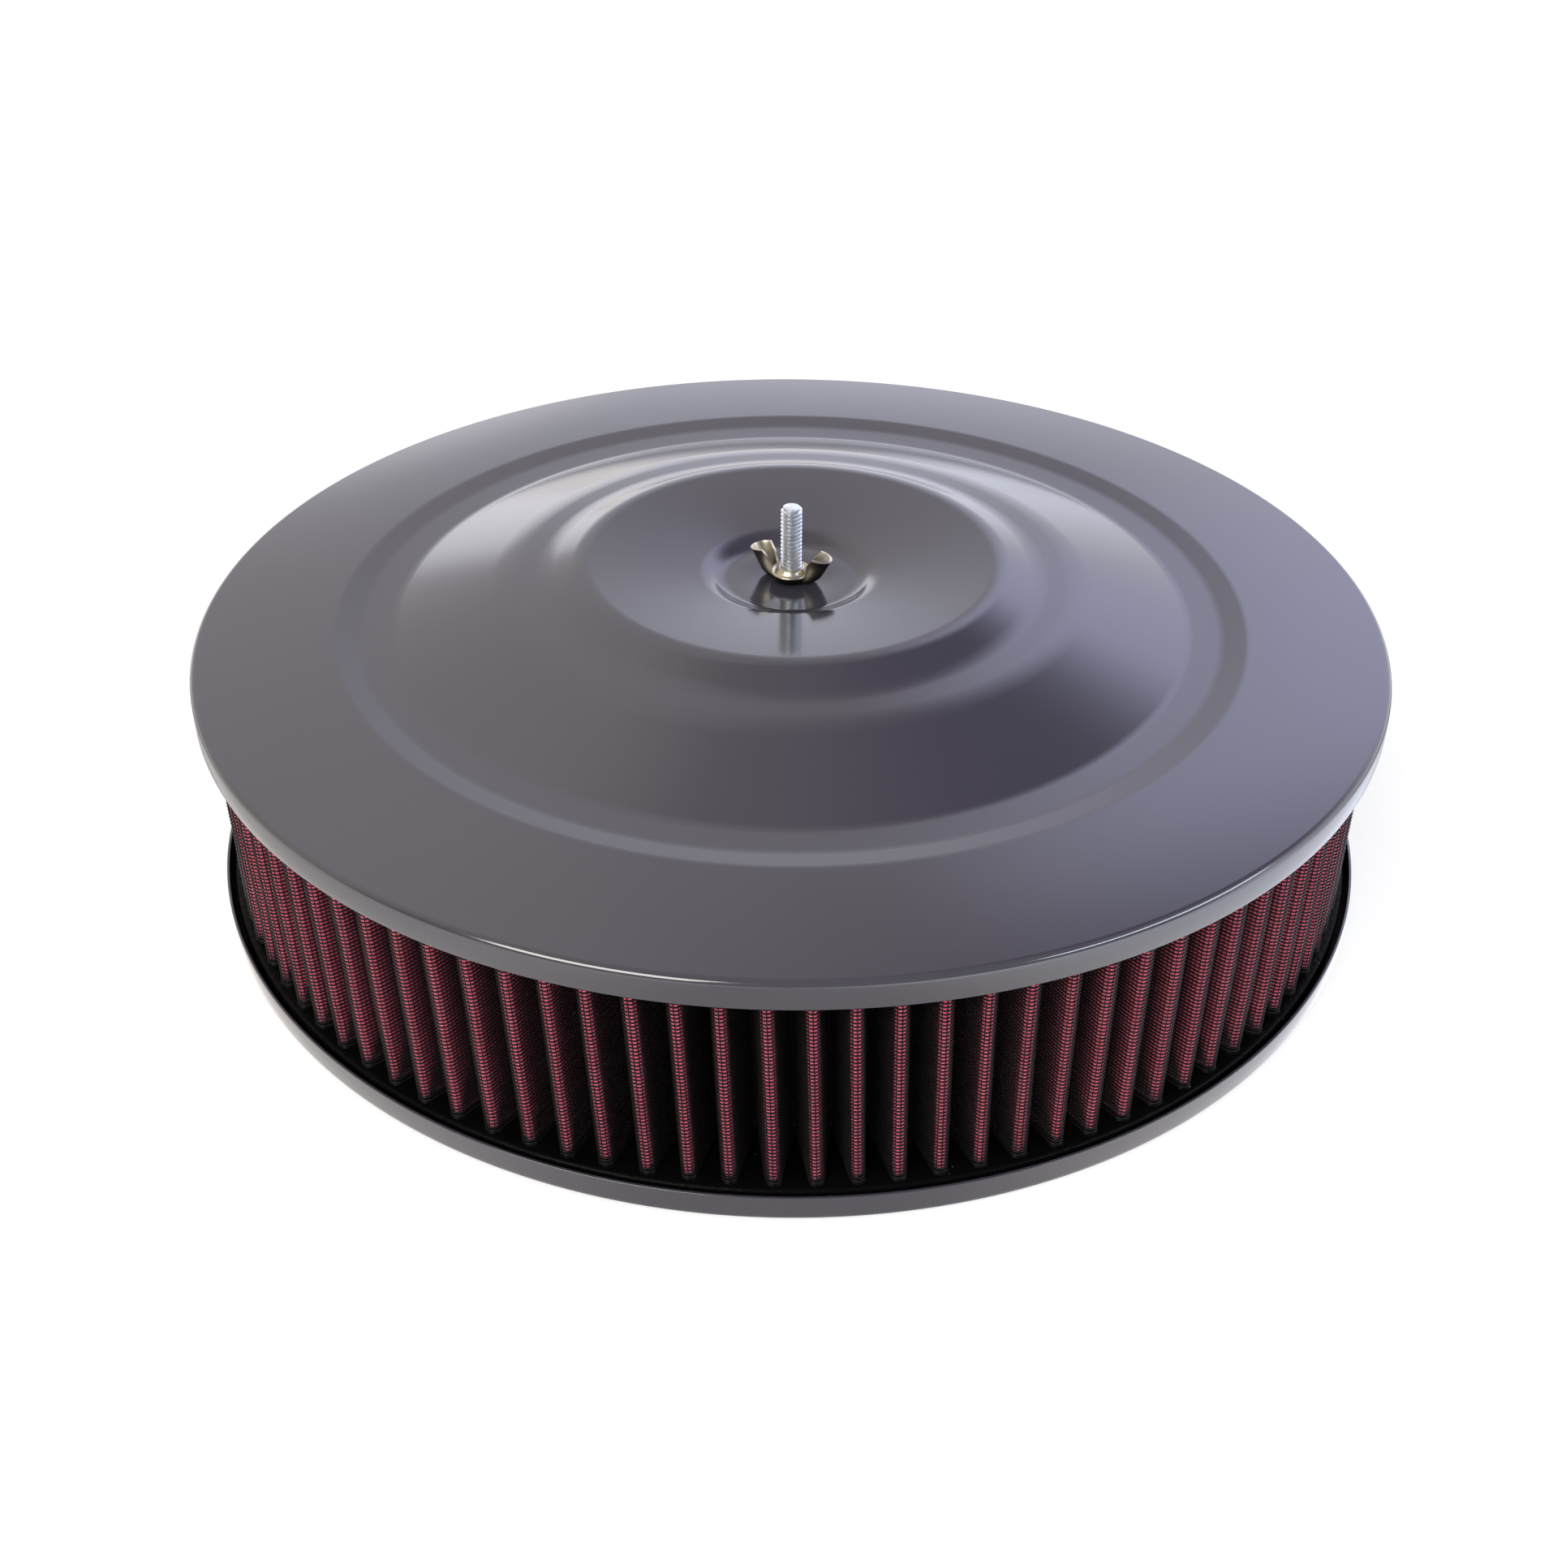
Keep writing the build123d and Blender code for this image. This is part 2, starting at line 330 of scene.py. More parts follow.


# Pleated gauze: layers of cotton gauze dyed crimson and wetted with oil, folded into a hundred
# pleats between its two wire screens. The folds aren't quite even, and their ends are soaked
# with the black urethane of the caps. Its colour carries painted shade deep in the folds.
PLEATS = 100
TIP_RADIUS = 173.6 * MM
TIP_HALF_WIDTH = 1.8 * MM
TIP_ROUNDING = 0.98
VALLEY_RADIUS = 154.1 * MM
VALLEY_FLARE = Vector((0.6 * MM, -0.55 * MM, 0))
SCREEN_DEPTH = 0.40 * MM
GAUZE_THICKNESS = 0.7 * MM
GAUZE_ROWS = 16
LEAN_AT_FOOT = math.radians(-1.1)
LEAN_AT_TOP = math.radians(-1.85)
# Degrees that the pleats have drifted at the foot, and what the top adds, by powers of side.
DRIFT = (-0.5, 1.22), (-1.11, 0.74), (1.01, 1.05)
CROWDING = 0.004
CROWDING_WAVES = 9
CROWDING_WAVES_UPWARDS = 6
TIP_SAG = 0.35 * MM
TIP_SAG_WAVES = 30
# What one unit of the fold's UV map spans.
THREAD_UNIT = 0.45 * math.pi * MM
GAUZE_REDS = (0.70, 0.065, 0.13), (0.97, 0.20, 0.32)
BETWEEN_THREADS = (0.30, 0.018, 0.042)
# Painted shade: the gauze's colour deep in the folds.
PAINTED_FOLD_SHADE = (0.05, 0.003, 0.008)
RESIN_SOAKED = (0.008, 0.004, 0.005)
# Radii where the painted fold shade is full and where it ends.
FOLD_SHADE_FULL_RADIUS = 166.8 * MM
FOLD_SHADE_END_RADIUS = 173.1 * MM
SOAKED_HEIGHT = 10.2 * MM
DRY_HEIGHT = 15.0 * MM
SOAKED_TAPER = 2.2
SOAKED_TAPER_RADIUS = 172.9 * MM
SOAKED_UNEVENNESS = 6 * MM
THREAD_RELIEF = 0.12 * MM


def pleat_path(depth):
    """One pleat's line in plan, this far inside the media's outer face, as a list of points."""
    mesh = bmesh.new()
    tip = Vector((TIP_RADIUS - depth, TIP_HALF_WIDTH - depth, 0))
    valley = Vector((VALLEY_RADIUS - depth, 0, 0))
    valley.rotate(Matrix.Rotation(math.pi / PLEATS, 3, "Z"))
    wall = valley + VALLEY_FLARE
    mirrored = [Vector((place.x, -place.y, 0)) for place in (valley, wall, tip)]
    points = drawn_line(mesh, mirrored + [tip, wall, valley])
    rounded(mesh, points[2:4], "VERTICES", TIP_ROUNDING * (TIP_HALF_WIDTH - depth), 3,
            clamped=False)
    line = sorted((vert.co.copy() for vert in mesh.verts), key=lambda place: place.y)
    mesh.free()
    return line


def uneven(place):
    """Where a point of the folded media really lies, as the pleats lean, drift and crowd."""
    angle = math.atan2(place.y, place.x)
    radius = math.hypot(place.x, place.y)
    side = math.cos(angle)
    crowding = noise.noise(Vector((side * CROWDING_WAVES, math.sin(angle) * CROWDING_WAVES,
                                   place.z * CROWDING_WAVES_UPWARDS)))
    rise = (place.z - MEDIA_BOTTOM) / (MEDIA_TOP - MEDIA_BOTTOM)
    drift = sum(side ** power * (at_foot + added_at_top * rise)
                for power, (at_foot, added_at_top) in enumerate(DRIFT, 1))
    angle += LEAN_AT_FOOT + (LEAN_AT_TOP - LEAN_AT_FOOT) * rise
    angle += math.radians(drift) + CROWDING * crowding
    depth = (radius - VALLEY_RADIUS) / (TIP_RADIUS - VALLEY_RADIUS)
    sag = noise.noise(Vector((angle * TIP_SAG_WAVES, place.z * TIP_SAG_WAVES, 3)))
    radius -= TIP_SAG * depth * (1 + sag)
    return Vector((radius * math.cos(angle), radius * math.sin(angle), place.z))


def fold_unevenly(mesh):
    """Moves all of a mesh to where the folded media really lies."""
    for vert in mesh.verts:
        vert.co = uneven(vert.co)


def ring_of_pleats(mesh):
    """Repeats one pleat of mesh all round the stud and joins the folds."""
    bmesh.ops.spin(mesh, geom=mesh.verts[:] + mesh.edges[:] + mesh.faces[:], cent=(0, 0, 0),
                   axis=(0, 0, 1), dvec=(0, 0, 0), angle=2 * math.pi * (1 - 1 / PLEATS),
                   steps=PLEATS - 1, use_merge=False, use_duplicate=True)
    bmesh.ops.remove_doubles(mesh, verts=mesh.verts[:], dist=2e-6)


def point_faces(mesh, outwards):
    """Points a folded sheet's faces away from the stud or to it, judged by the outermost one."""
    bmesh.ops.recalc_face_normals(mesh, faces=mesh.faces[:])
    outermost = max(mesh.faces, key=lambda face: face.calc_center_median().x)
    if (outermost.normal.x > 0) != outwards:
        bmesh.ops.reverse_faces(mesh, faces=mesh.faces[:])


def pulled_out(mesh, edges):
    """Extrudes edges where they are, and gives the new vertices and the new far edges."""
    made = bmesh.ops.extrude_edge_only(mesh, edges=edges)["geom"]
    return ([part for part in made if isinstance(part, bmesh.types.BMVert)],
            [part for part in made if isinstance(part, bmesh.types.BMEdge)])


def gauze_mesh():
    """The gauze as one folded sheet, with its lengths along and up the fold as a UV map."""
    mesh = bmesh.new()
    length = mesh.verts.layers.float.new("length")
    fold = mesh.loops.layers.uv.new("fold")
    line = pleat_path(SCREEN_DEPTH)
    points = drawn_line(mesh, [(place.x, place.y, MEDIA_BOTTOM) for place in line])
    for start, end in zip(points, points[1:]):
        end[length] = start[length] + (end.co - start.co).length
    rising = mesh.edges[:]
    for row in range(GAUZE_ROWS):
        raised, rising = pulled_out(mesh, rising)
        bmesh.ops.translate(mesh, verts=raised,
                            vec=(0, 0, (MEDIA_TOP - MEDIA_BOTTOM) / GAUZE_ROWS))
    for face in mesh.faces:
        for corner in face.loops:
            corner[fold].uv = (corner.vert[length] / THREAD_UNIT, corner.vert.co.z / THREAD_UNIT)
    ring_of_pleats(mesh)
    point_faces(mesh, outwards=True)
    fold_unevenly(mesh)
    mesh.normal_update()
    bmesh.ops.solidify(mesh, geom=mesh.faces[:], thickness=GAUZE_THICKNESS)
    return mesh


def faded(tree, source, low, high, curve="SMOOTHSTEP"):
    """0 where source is low and 1 where it is high, with a soft start and end or straight."""
    fade = tree.nodes.new("ShaderNodeMapRange")
    fade.interpolation_type = curve
    fade.inputs["From Min"].default_value = low
    fade.inputs["From Max"].default_value = high
    link(tree, source, fade.inputs["Value"])
    return fade.outputs["Result"]


def object_place(tree):
    """Object coordinates, split into X, Y and Z, and the distance from the stud's axis."""
    place = tree.nodes.new("ShaderNodeTexCoord")
    split = tree.nodes.new("ShaderNodeSeparateXYZ")
    link(tree, place.outputs["Object"], split.inputs[0])
    flat = tree.nodes.new("ShaderNodeCombineXYZ")
    link(tree, split.outputs["X"], flat.inputs["X"])
    link(tree, split.outputs["Y"], flat.inputs["Y"])
    reach = tree.nodes.new("ShaderNodeVectorMath")
    reach.operation = "LENGTH"
    link(tree, flat.outputs[0], reach.inputs[0])
    return split, reach.outputs["Value"]


def gauze_threads(tree, fold, direction):
    """The slightly wavy threads that run across one direction of the fold's UV map."""
    wave = tree.nodes.new("ShaderNodeTexWave")
    wave.bands_direction = direction
    wave.inputs["Scale"].default_value = 1.0
    wave.inputs["Distortion"].default_value = 1.2
    wave.inputs["Detail Scale"].default_value = 0.6
    link(tree, fold, wave.inputs["Vector"])
    return wave.outputs["Fac"]


def oiled_gauze():
    """Crimson gauze: a fine weave along the fold, wet with oil, with painted shade deep in the
    folds, black where resin soaked it.
    """
    material, tree, shader = new_material("oiled_gauze")
    fold = tree.nodes.new("ShaderNodeUVMap")
    fold.uv_map = "fold"
    weave = computed(tree, "MAXIMUM", gauze_threads(tree, fold.outputs["UV"], "X"),
                     gauze_threads(tree, fold.outputs["UV"], "Y"))
    grain = place_grain(tree, patch_scale=90, grain_scale=1500, dust_scale=1300, dust_amount=0.25)
    dyed = mixed_colour(tree, grain.outputs["Patches"], *GAUZE_REDS)
    woven = mixed_colour(tree, weave, BETWEEN_THREADS, dyed)
    split, reach = object_place(tree)
    # Painted shade: the gauze darkens from the pleat tips into the folds.
    out_of_fold_shade = faded(tree, reach, FOLD_SHADE_FULL_RADIUS, FOLD_SHADE_END_RADIUS)
    woven = mixed_colour(tree, out_of_fold_shade, PAINTED_FOLD_SHADE, woven)
    level = computed(tree, "MULTIPLY_ADD", reach, SOAKED_TAPER, split.outputs["Z"])
    level = computed(tree, "MULTIPLY_ADD", grain.outputs["Patches"], SOAKED_UNEVENNESS, level)
    tapered = SOAKED_TAPER * SOAKED_TAPER_RADIUS
    dry = faded(tree, level, SOAKED_HEIGHT + tapered, DRY_HEIGHT + tapered, "LINEAR")
    link(tree, mixed_colour(tree, dry, RESIN_SOAKED, woven), shader.inputs["Base Color"])
    roughened(tree, shader, weave, 0.55, 0.32)
    bumped(tree, shader, weave, THREAD_RELIEF)
    shader.inputs["Sheen Weight"].default_value = 0.25
    shader.inputs["Sheen Tint"].default_value = (0.9, 0.45, 0.55, 1)
    return material


gauze = finish_piece("gauze_pleats", gauze_mesh(), oiled_gauze(), "housing")
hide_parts("pleated_media")


# Resin fillets: thin skirts of the caps' black urethane, which crept up the folds before it
# set, at both ends of the media.
FILLET_RISE = 1.7 * MM
FILLET_REACH = 0.6 * MM
FILLET_ROOT = 0.1 * MM
FILLET_RIPPLE = 0.5
FILLET_RIPPLE_WAVES = 400


def fillet_mesh(level, direction):
    """A thin curved skirt of resin round the foot of every pleat, up or down from level."""
    stages = [(-FILLET_REACH, -FILLET_ROOT), (-0.25 * FILLET_REACH, 0.25 * FILLET_RISE),
              (0.1 * MM, 0.6 * FILLET_RISE), (SCREEN_DEPTH, FILLET_RISE)]
    mesh = bmesh.new()
    below = pleat_path(stages[0][0])
    drawn_line(mesh, [(place.x, place.y, stages[0][1]) for place in below])
    edges = mesh.edges[:]
    for depth, rise in stages[1:]:
        above = pleat_path(depth)
        raised, edges = pulled_out(mesh, edges)
        for vert in raised:
            index = min(range(len(below)), key=lambda at: (below[at].xy - vert.co.xy).length)
            vert.co = (above[index].x, above[index].y, rise)
        below = above
    ring_of_pleats(mesh)
    for vert in mesh.verts:
        ripple = 1 + FILLET_RIPPLE * noise.noise(vert.co * FILLET_RIPPLE_WAVES)
        vert.co.z = level + vert.co.z * ripple * direction
    fold_unevenly(mesh)
    point_faces(mesh, outwards=True)
    return mesh


for name, level, direction in (("lower_resin_fillets", MEDIA_BOTTOM, 1),
                               ("upper_resin_fillets", MEDIA_TOP, -1)):
    finish_piece(name, fillet_mesh(level, direction), urethane, "housing")


# Outer wire screen: woven from thin black-coated steel wire, laid on the gauze and folded with
# it. The wires that go round the pleats lie outside those that stand upright. Its twin on the
# inner face can't be seen and isn't made.
WIRE_RADIUS = 0.165 * MM
ROW_PITCH = 1.14 * MM
ROWS = 53
ROWS_IN_PIECE = 18
UPRIGHT_PITCH = 1.25 * MM
UPRIGHT_DEPTH = WIRE_RADIUS + 0.16 * MM
UPRIGHT_STEPS = 3
SUNK_IN_CAP = 0.3 * MM
WIRE_BLACKS = (0.003, 0.003, 0.003), (0.014, 0.011, 0.013)
WIRE_DUST = (0.12, 0.11, 0.12)


def coated_wire():
    """Steel wire with a thin black coating, wetted with oil in patches."""
    material, tree, shader = new_material("coated_wire")
    grain = place_grain(tree, patch_scale=300, grain_scale=2500, dust_scale=1500, dust_amount=0.2)
    colour = mixed_colour(tree, grain.outputs["Patches"], *WIRE_BLACKS)
    dusted(tree, shader, grain, colour, WIRE_DUST)
    roughened(tree, shader, grain.outputs["Patches"], 0.25, 0.5)
    shader.inputs["Specular IOR Level"].default_value = 0.25
    return material


def lying_wires(first_row, rows):
    """Square wires that follow the pleats round the stud, one above another."""
    mesh = bmesh.new()
    drawn_line(mesh, [(place.x, place.y, 0) for place in pleat_path(WIRE_RADIUS)])
    raised, edges = pulled_out(mesh, mesh.edges[:])
    bmesh.ops.translate(mesh, verts=raised, vec=(0, 0, 2 * WIRE_RADIUS))
    ring_of_pleats(mesh)
    point_faces(mesh, outwards=False)
    bmesh.ops.solidify(mesh, geom=mesh.faces[:], thickness=2 * WIRE_RADIUS)
    bmesh.ops.translate(mesh, verts=mesh.verts[:], vec=(0, 0, -WIRE_RADIUS))
    one_row = mesh.verts[:] + mesh.edges[:] + mesh.faces[:]
    for row in range(1, rows):
        copied = bmesh.ops.duplicate(mesh, geom=one_row)["geom"]
        copied = [part for part in copied if isinstance(part, bmesh.types.BMVert)]
        bmesh.ops.translate(mesh, verts=copied, vec=(0, 0, ROW_PITCH * row))
    first_height = MEDIA_BOTTOM + ROW_PITCH * (first_row + 0.5)
    bmesh.ops.translate(mesh, verts=mesh.verts[:], vec=(0, 0, first_height))
    fold_unevenly(mesh)
    return mesh


def standing_wires():
    """Square upright wires, set out at an even pitch along each pleat."""
    line = pleat_path(UPRIGHT_DEPTH)
    lengths = [(end - start).length for start, end in zip(line, line[1:])]
    count = round(sum(lengths) / UPRIGHT_PITCH)
    rise = (MEDIA_TOP - MEDIA_BOTTOM + 2 * SUNK_IN_CAP) / UPRIGHT_STEPS
    mesh = bmesh.new()
    for index in range(count):
        distance = sum(lengths) * (index + 0.5) / count
        run = 0
        while distance > lengths[run]:
            distance -= lengths[run]
            run += 1
        place = line[run].lerp(line[run + 1], distance / lengths[run])
        foot = bmesh.ops.create_circle(mesh, segments=4, radius=WIRE_RADIUS, cap_ends=False)
        bmesh.ops.translate(mesh, verts=foot["verts"],
                            vec=(place.x, place.y, MEDIA_BOTTOM - SUNK_IN_CAP))
        rim = list({edge for vert in foot["verts"] for edge in vert.link_edges})
        for step in range(UPRIGHT_STEPS):
            raised, rim = pulled_out(mesh, rim)
            bmesh.ops.translate(mesh, verts=raised, vec=(0, 0, rise))
    bmesh.ops.recalc_face_normals(mesh, faces=mesh.faces[:])
    ring_of_pleats(mesh)
    fold_unevenly(mesh)
    return mesh


wire_finish = coated_wire()
for number, first_row in enumerate(range(0, ROWS, ROWS_IN_PIECE), 1):
    rows_mesh = lying_wires(first_row, min(ROWS_IN_PIECE, ROWS - first_row))
    finish_piece(f"outer_screen_rows_{number}", rows_mesh, wire_finish, "housing")
finish_piece("outer_screen_uprights", standing_wires(), wire_finish, "housing")


# Lid: the other pressed steel cover, in the same baked enamel. Its flange lies on the top cap
# with a turned-down lip, and inside it rise a ledge, a domed step, a crest, and the sunk seat
# that the wing nut stands on.
LID_CORNER = 77.959 * MM
LID_LIP = 8.0 * MM
STUD_HOLE_RADIUS = 3.7 * MM
SEAT_TOP = LID_CORNER + 9.5 * MM
LEDGE_TOP = LID_CORNER + 1.4 * MM
FLANGE_INNER = 136.4 * MM
FLANGE_INNER_TOP = LID_CORNER + (COVER_RADIUS - FLANGE_INNER) * FLANGE_SLOPE

lid_mesh = pressed_cover([
    (STUD_HOLE_RADIUS, SEAT_TOP, 0),
    (21.0 * MM, SEAT_TOP, 8 * MM),
    (25.6 * MM, LID_CORNER + 12.15 * MM, 12 * MM),
    (62.7 * MM, LID_CORNER + 17.8 * MM, 11 * MM),
    (74.2 * MM, LID_CORNER + 13.1 * MM, 22 * MM),
    (86.2 * MM, LID_CORNER + 12.0 * MM, 40 * MM),
    (119.2 * MM, LEDGE_TOP, 10 * MM),
    (129.0 * MM, LEDGE_TOP, 16 * MM),
    (FLANGE_INNER, FLANGE_INNER_TOP, 8 * MM),
    (COVER_RADIUS, LID_CORNER, 2.0 * MM),
    (COVER_RADIUS, LID_CORNER - LID_LIP, 0),
], drawn_below=False)
lid = finish_piece("pressed_lid", lid_mesh, enamel, "housing")
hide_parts("lid")


# Stud: a quarter-inch steel rod with a rolled thread of 20 to the inch at both ends and a
# thinner plain shank, bright zinc plated. It screws into the carburettor under the base.
THREAD_RADIUS = 3.175 * MM
THREAD_PITCH = 1.27 * MM
THREAD_ROOT = THREAD_RADIUS - 0.70 * MM
THREAD_STEPS = 32
SHANK_RADIUS = 2.8 * MM
STUD_BOTTOM = 47.659 * MM
STUD_TOP = 111.159 * MM
LOWER_THREAD_TOP = STUD_BOTTOM + 15.0 * MM
UPPER_THREAD_FOOT = STUD_TOP - 31.75 * MM
STUD_CHAMFER = 0.75 * MM
STUD_EDGE_TURN = math.radians(50)
ZINC = (0.74, 0.79, 0.84), (0.93, 0.96, 0.98)
PLATING_PITS = 0.02 * MM


def cut_away(mesh, place, outwards):
    """Cuts off what lies beyond a plane through place that faces outwards."""
    bmesh.ops.bisect_plane(mesh, geom=mesh.verts[:] + mesh.edges[:] + mesh.faces[:],
                           plane_co=place, plane_no=Vector(outwards).normalized(),
                           clear_outer=True, dist=1e-7)


def add_part(whole, part):
    """Puts one bmesh into another and frees it."""
    carrier = bpy.data.meshes.new("carrier")
    part.to_mesh(carrier)
    part.free()
    whole.from_mesh(carrier)
    bpy.data.meshes.remove(carrier)


def thread(mesh, low, high):
    """A rolled thread between two levels, as one helical sheet cut level at its ends."""
    profile = [(THREAD_ROOT, 0), (THREAD_ROOT, 0.16), (THREAD_RADIUS, 0.44),
               (THREAD_RADIUS, 0.56), (THREAD_ROOT, 0.84), (THREAD_ROOT, 1)]
    drawn_line(mesh, [(radius, 0, low - THREAD_PITCH * (1 - share)) for radius, share in profile])
    turns = math.ceil((high - low) / THREAD_PITCH) + 1
    bmesh.ops.spin(mesh, geom=mesh.verts[:] + mesh.edges[:], cent=(0, 0, 0), axis=(0, 0, 1),
                   dvec=(0, 0, THREAD_PITCH / THREAD_STEPS), angle=2 * math.pi * turns,
                   steps=THREAD_STEPS * turns, use_merge=False, use_duplicate=False)
    bmesh.ops.remove_doubles(mesh, verts=mesh.verts[:], dist=2e-6)
    cut_away(mesh, (0, 0, low), (0, 0, -1))
    cut_away(mesh, (0, 0, high), (0, 0, 1))
    for vert in mesh.verts:
        from_end = max(min(vert.co.z - low, high - vert.co.z), 0)
        limit = THREAD_RADIUS - STUD_CHAMFER + from_end
        radius = math.hypot(vert.co.x, vert.co.y)
        if radius > limit:
            vert.co.x *= limit / radius
            vert.co.y *= limit / radius


def stud_mesh():
    """Both threads and the shank, closed at their ends."""
    whole = bmesh.new()
    for low, high in ((STUD_BOTTOM, LOWER_THREAD_TOP), (UPPER_THREAD_FOOT, STUD_TOP)):
        part = bmesh.new()
        thread(part, low, high)
        rims = [edge for edge in part.edges if edge.is_boundary]
        bmesh.ops.holes_fill(part, edges=rims, sides=0)
        bmesh.ops.recalc_face_normals(part, faces=part.faces[:])
        add_part(whole, part)
    shank = bmesh.ops.create_cone(whole, cap_ends=True, segments=32, radius1=SHANK_RADIUS,
                                  radius2=SHANK_RADIUS, depth=UPPER_THREAD_FOOT - LOWER_THREAD_TOP)
    middle = (UPPER_THREAD_FOOT + LOWER_THREAD_TOP) / 2
    bmesh.ops.translate(whole, verts=shank["verts"], vec=(0, 0, middle))
    return whole


def plated_steel(name, tones, roughness, underside_shade=None):
    """Bright plating: colour and polish drift, with fine pits, and perhaps painted shade on faces
    that look down.
    """
    material, tree, shader = new_material(name)
    grain = place_grain(tree, patch_scale=260, grain_scale=1800, dust_scale=1600, dust_amount=0.2)
    colour = mixed_colour(tree, grain.outputs["Patches"], *tones)
    # Painted shade: the colour darkens on faces that look down.
    if underside_shade:
        facing = tree.nodes.new("ShaderNodeNewGeometry")
        split = tree.nodes.new("ShaderNodeSeparateXYZ")
        link(tree, facing.outputs["Normal"], split.inputs[0])
        upwards = faded(tree, split.outputs["Z"], -0.4, 0.4, "LINEAR")
        colour = mixed_colour(tree, upwards, underside_shade, colour)
    link(tree, colour, shader.inputs["Base Color"])
    roughened(tree, shader, grain.outputs["Patches"], *roughness)
    bumped(tree, shader, grain.outputs["Grain"], PLATING_PITS)
    shader.inputs["Metallic"].default_value = 1.0
    return material


zinc = plated_steel("zinc_steel", ZINC, roughness=(0.3, 0.45))
stud = finish_piece("threaded_stud", stud_mesh(), zinc, "stud")
stud.data.set_sharp_from_angle(angle=STUD_EDGE_TURN)
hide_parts("stud")


# Wing nut: pressed from one piece of steel, a shallow cup with a threaded collar and two
# hollow wings that lean outwards and open towards the stud. Its plating is a warm nickel,
# with painted shade that darkens the faces that look down.
NUT_SEAT = 87.459 * MM
NUT_SHEET = 0.9 * MM
NUT_STEPS = 48
NUT_EDGE_TURN = math.radians(60)
# Radius and height in mm: foot, flared wall, rounded rim, conical well and threaded collar.
CUP_OUTLINE = [(3.22, 0.15), (4.8, 0), (5.2, 0.3), (6.1, 2.2), (6.25, 2.6), (6.1, 2.92),
               (5.75, 3.0), (5.4, 2.8), (4.9, 2.5), (4.45, 2.8), (4.1, 3.6), (3.9, 3.95),
               (3.6, 4.05), (3.22, 3.9)]
WING_TURN = math.radians(-24)
WING_STEPS = 32
# Height, inner end, outer end and half width of a wing's tube in mm, from the foot up.
WING_LEVELS = [(0.35, 2.6, 6.8, 2.5), (0.9, 2.6, 8.2, 2.8), (2.0, 2.7, 9.5, 3.0),
               (3.6, 2.9, 10.5, 3.05), (5.4, 3.3, 11.5, 3.1), (7.0, 3.8, 12.3, 3.2),
               (8.2, 4.3, 13.0, 3.5), (9.8, 4.9, 14.0, 4.0)]
# A point in mm and the way out of each plane that trims a wing: its top and its open side.
WING_CUTS = [((12.9, 0, 8.4), (0.17, 0, 1.0)), ((5.3, 0, 2.7), (-1, 0, 0.23)),
             ((7.4, 0, 8.2), (-1, 0, 0.8))]
WING_FOOT_TOP = 0.4 * MM
WING_EDGE_TURN = 1.0
WING_EDGE_ROUNDING = 0.38 * MM
NICKEL = (0.56, 0.50, 0.38), (0.80, 0.74, 0.60)
# Painted shade on the nut's faces that look down.
NICKEL_UNDERSIDE_SHADE = (0.06, 0.055, 0.04)


def cup_mesh():
    """The nut's cup, turned round the stud."""
    mesh = bmesh.new()
    drawn_line(mesh, [(radius * MM, 0, height * MM) for radius, height in CUP_OUTLINE],
               closed=True)
    turn_round_stud(mesh, NUT_STEPS)
    return mesh


def wing_mesh():
    """One hollow wing: a tube that swells and leans outwards, cut open towards the stud."""
    mesh = bmesh.new()
    ring = bmesh.ops.create_circle(mesh, segments=WING_STEPS, radius=1, cap_ends=False)["verts"]
    rim = mesh.edges[:]
    before = Matrix.Identity(4)
    for number, (height, inner, outer, half_width) in enumerate(WING_LEVELS):
        if number > 0:
            ring, rim = pulled_out(mesh, rim)
        fit = (Matrix.Translation(MM * Vector(((inner + outer) / 2, 0, height)))
               @ Matrix.Diagonal((MM * (outer - inner) / 2, MM * half_width, 1, 1)))
        bmesh.ops.transform(mesh, matrix=fit @ before.inverted(), verts=ring)
        before = fit
    for place, outwards in WING_CUTS:
        cut_away(mesh, [MM * share for share in place], outwards)
    foot = [edge for edge in mesh.edges
            if edge.is_boundary and max(vert.co.z for vert in edge.verts) < WING_FOOT_TOP]
    ends = [vert for edge in foot for vert in edge.verts
            if sum(vert in other.verts for other in foot) == 1]
    mesh.edges.new(ends)
    foot = [edge for edge in mesh.edges
            if max(vert.co.z for vert in edge.verts) < WING_FOOT_TOP]
    bmesh.ops.contextual_create(mesh, geom=foot)
    bmesh.ops.recalc_face_normals(mesh, faces=mesh.faces[:])
    bmesh.ops.solidify(mesh, geom=mesh.faces[:], thickness=NUT_SHEET)
    sharp = [edge for edge in mesh.edges if edge.calc_face_angle(0) > WING_EDGE_TURN]
    rounded(mesh, sharp, "EDGES", WING_EDGE_ROUNDING, 4)
    return mesh


def wing_nut_mesh():
    """The cup with its two wings, standing on the lid's seat."""
    whole = cup_mesh()
    for side in (0, math.pi):
        wing = wing_mesh()
        bmesh.ops.rotate(wing, verts=wing.verts[:], cent=(0, 0, 0),
                         matrix=Matrix.Rotation(side, 3, "Z"))
        add_part(whole, wing)
    bmesh.ops.rotate(whole, verts=whole.verts[:], cent=(0, 0, 0),
                     matrix=Matrix.Rotation(WING_TURN, 3, "Z"))
    bmesh.ops.translate(whole, verts=whole.verts[:], vec=(0, 0, NUT_SEAT))
    return whole


nickel = plated_steel("nickel_steel", NICKEL, roughness=(0.26, 0.40), underside_shade=NICKEL_UNDERSIDE_SHADE)
wing_nut = finish_piece("pressed_wing_nut", wing_nut_mesh(), nickel, "wing_nut")
wing_nut.data.set_sharp_from_angle(angle=NUT_EDGE_TURN)
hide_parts("wing_nut")


